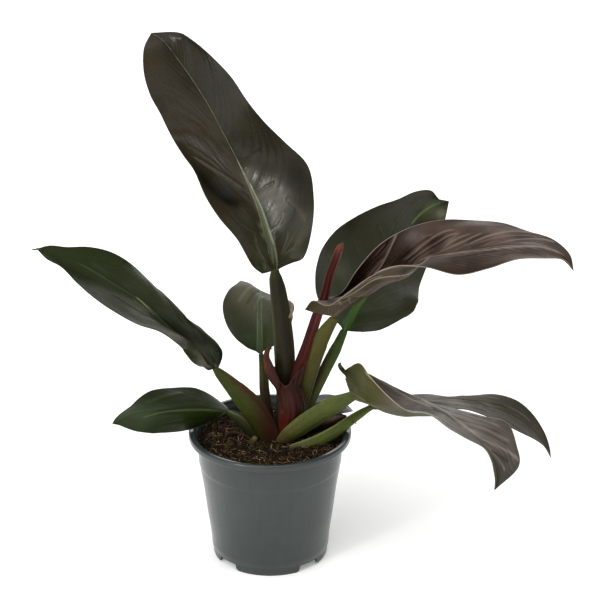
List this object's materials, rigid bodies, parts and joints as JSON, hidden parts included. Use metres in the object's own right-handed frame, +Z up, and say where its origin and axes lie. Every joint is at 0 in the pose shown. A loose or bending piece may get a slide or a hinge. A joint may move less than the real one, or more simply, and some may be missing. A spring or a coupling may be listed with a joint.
{
  "type": "potted philodendron",
  "caption": "Leafy foliage plant with long pointed glossy blades on sheathed stalks and a rolled new leaf, rooted in soil in a round nursery pot.",
  "frame": {"origin": "middle of the width and depth of the whole plant and pot, on the ground the pot stands on", "axes": "+Z up, -Y towards the front of the plant, +X to the right seen from the front"},
  "size_m": [0.3731, 0.2378, 0.3823],
  "materials": {
    "pot": "dark grey-green moulded plastic, semi-gloss",
    "soil": "moist peat and coir with light fibres and white grains",
    "leaf_dark": "glossy dark olive-brown leaf with pale midrib",
    "leaf_green": "glossy dark green leaf with grey sheen",
    "leaf_mauve": "glossy mauve-brown leaf with raised veins",
    "petiole_olive": "satin olive to red-brown stalk",
    "petiole_green": "satin light green stalk",
    "sheath_red": "satin dark red sheath",
    "dry_husk": "dry purple-brown husk",
    "stem": "rough brown stem and root"
  },
  "bodies": {
    "root": {"pot": "pot", "soil": "soil", "stem_crown": "stem", "petiole_tall": "petiole_olive", "spear_leaf": "sheath_red", "petiole_arching": "petiole_olive", "petiole_left_upper": "petiole_olive", "petiole_front_right": "petiole_green", "petiole_low_right": "petiole_green", "petiole_back_right": "petiole_green", "petiole_back_small": "petiole_olive", "petiole_left_lower": "petiole_olive", "petiole_back_low": "petiole_olive", "sheath_central": "sheath_red", "husk_left": "sheath_red", "husk_dry": "dry_husk", "petiole_stub": "petiole_olive", "aerial_root": "stem", "blade_tall": "leaf_dark", "blade_left_upper": "leaf_green", "blade_left_lower": "leaf_green", "blade_back_small": "leaf_green", "blade_back_right": "leaf_dark", "blade_arching": "leaf_mauve", "blade_front_right": "leaf_mauve", "blade_low_right": "leaf_dark", "blade_back_low": "leaf_mauve"}
  },
  "joints": []
}
